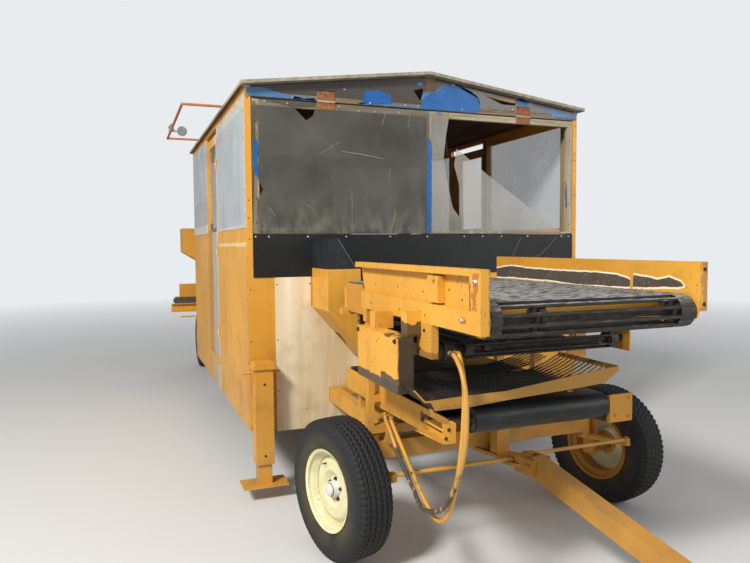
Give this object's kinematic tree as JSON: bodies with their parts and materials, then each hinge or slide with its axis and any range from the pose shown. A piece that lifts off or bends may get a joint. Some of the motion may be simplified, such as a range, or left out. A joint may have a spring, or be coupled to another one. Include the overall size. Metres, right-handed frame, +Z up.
{
  "type": "towed potato sorting trailer",
  "caption": "Four-wheel trailer with an enclosed gabled sorting cab, a rod-chain conveyor standing out at the front, a hanging jack and a steered front axle with a tongue.",
  "frame": {"origin": "middle of the bounding box on the ground", "axes": "+X across to the machine's own left side, -Y forward towards the tongue, +Z up"},
  "size_m": [3.026, 8.3196, 2.9442],
  "materials": {
    "yellow_paint": "semi-gloss, weathered",
    "wheel_paint": "satin, chalky",
    "bare_steel": "dull, worn",
    "rusty_pipe": "matte, rusted",
    "dark_steel": "greasy, worn",
    "tread_rubber": "matte, dusty",
    "sheet_rubber": "matte",
    "weathered_wood": "matte, split",
    "stained_board": "matte, streaked",
    "roof_board": "matte, weathered",
    "clear_sheet": "scratched",
    "lamp_shell": "satin"
  },
  "bodies": {
    "trailer": {"frame": "yellow_paint", "front_axle": "yellow_paint", "rear_axle": "yellow_paint", "cab_floor": "weathered_wood", "cab_posts": "yellow_paint", "wall_left": "yellow_paint", "wall_right": "yellow_paint", "wall_front": "yellow_paint", "front_sheet": "stained_board", "wall_rear": "yellow_paint", "front_band": "sheet_rubber", "roof_sheets": "roof_board", "front_battens": "weathered_wood", "fixed_panes": "clear_sheet", "lamp_bar": "rusty_pipe", "lamps": "lamp_shell", "jack_sleeve": "yellow_paint", "side_left": "yellow_paint", "side_right": "yellow_paint", "front_chain": "dark_steel", "rollers": "bare_steel", "lower_chain": "dark_steel", "rod_tray": "dark_steel", "belt_frame": "yellow_paint", "lower_belt": "sheet_rubber", "chute": "yellow_paint", "chute_flap": "sheet_rubber", "chain_guard": "yellow_paint", "motor": "bare_steel", "hose_a": "sheet_rubber", "hose_b": "sheet_rubber", "sort_table": "yellow_paint", "sort_chain": "dark_steel", "cross_frame": "yellow_paint", "cross_belt": "sheet_rubber", "rear_hopper": "yellow_paint"},
    "front_sash": {"front_sash": "weathered_wood", "sash_left_pane": "clear_sheet", "sash_right_pane": "clear_sheet"},
    "left_door": {"door_left": "yellow_paint", "door_left_pane": "clear_sheet"},
    "right_door": {"door_right": "yellow_paint", "door_right_pane": "clear_sheet"},
    "jack": {"jack_leg": "yellow_paint"},
    "head": {"tongue_head": "yellow_paint"},
    "drawbar": {"tongue": "yellow_paint"},
    "left_knuckle": {"knuckle_left": "yellow_paint"},
    "right_knuckle": {"knuckle_right": "yellow_paint"},
    "left_track_rod": {"tie_rod_left": "yellow_paint"},
    "right_track_rod": {"tie_rod_right": "yellow_paint"},
    "wheel_fl": {"tyre_fl": "tread_rubber", "rim_fl": "wheel_paint"},
    "wheel_fr": {"tyre_fr": "tread_rubber", "rim_fr": "wheel_paint"},
    "wheel_rl": {"tyre_rl": "tread_rubber", "rim_rl": "wheel_paint"},
    "wheel_rr": {"tyre_rr": "tread_rubber", "rim_rr": "wheel_paint"}
  },
  "joints": [
    {"name": "steering", "type": "hinge", "parent": "trailer", "child": "head", "pos_m": [0.043, -2.32012, 0.55], "axis": [0, 0, 1], "range_deg": [-38, 12]},
    {"name": "tongue_pitch", "type": "hinge", "parent": "head", "child": "drawbar", "pos_m": [0.1357, -2.70924, 0.475], "axis": [-0.9728, -0.2317, 0], "range_deg": [0, 25]},
    {"name": "left_kingpin", "type": "hinge", "parent": "trailer", "child": "left_knuckle", "pos_m": [-0.682, -2.32012, 0.55], "axis": [0, 0, 1], "range_deg": [-38, 12]},
    {"name": "right_kingpin", "type": "hinge", "parent": "trailer", "child": "right_knuckle", "pos_m": [0.768, -2.32012, 0.55], "axis": [0, 0, 1], "range_deg": [-38, 12]},
    {"name": "left_rod_pin", "type": "hinge", "parent": "head", "child": "left_track_rod", "pos_m": [0.0472, -2.59668, 0.489], "axis": [0, 0, 1], "range_deg": [-12, 38]},
    {"name": "right_rod_pin", "type": "hinge", "parent": "head", "child": "right_track_rod", "pos_m": [0.16394, -2.56887, 0.489], "axis": [0, 0, 1], "range_deg": [-12, 38]},
    {"name": "wheel_fl_spin", "type": "hinge", "parent": "left_knuckle", "child": "wheel_fl", "pos_m": [-0.89115, -2.36995, 0.38], "axis": [0.9728, 0.2317, 0], "continuous": true},
    {"name": "wheel_fr_spin", "type": "hinge", "parent": "right_knuckle", "child": "wheel_fr", "pos_m": [0.97715, -2.2703, 0.38], "axis": [0.9728, 0.2317, 0], "continuous": true},
    {"name": "wheel_rl_spin", "type": "hinge", "parent": "trailer", "child": "wheel_rl", "pos_m": [-0.897, 3.77988, 0.38], "axis": [1, 0, 0], "continuous": true},
    {"name": "wheel_rr_spin", "type": "hinge", "parent": "trailer", "child": "wheel_rr", "pos_m": [0.983, 3.77988, 0.38], "axis": [1, 0, 0], "continuous": true},
    {"name": "jack_slide", "type": "slide", "parent": "trailer", "child": "jack", "axis": [0, 0, -1], "range_m": [0, 0.094]},
    {"name": "front_sash_hinge", "type": "hinge", "parent": "trailer", "child": "front_sash", "pos_m": [0.148, -1.32812, 2.68], "axis": [-1, 0, 0], "range_deg": [0, 80]},
    {"name": "left_door_hinge", "type": "hinge", "parent": "trailer", "child": "left_door", "pos_m": [-1.195, 0.08288, 1.7], "axis": [0, 0, 1], "range_deg": [0, 95]},
    {"name": "right_door_hinge", "type": "hinge", "parent": "trailer", "child": "right_door", "pos_m": [1.491, 0.08288, 1.7], "axis": [0, 0, -1], "range_deg": [0, 95]}
  ],
  "couplings": [
    {"joint": "left_kingpin", "follows": "steering", "ratio": 1},
    {"joint": "right_kingpin", "follows": "steering", "ratio": 1},
    {"joint": "left_rod_pin", "follows": "steering", "ratio": -1},
    {"joint": "right_rod_pin", "follows": "steering", "ratio": -1}
  ]
}
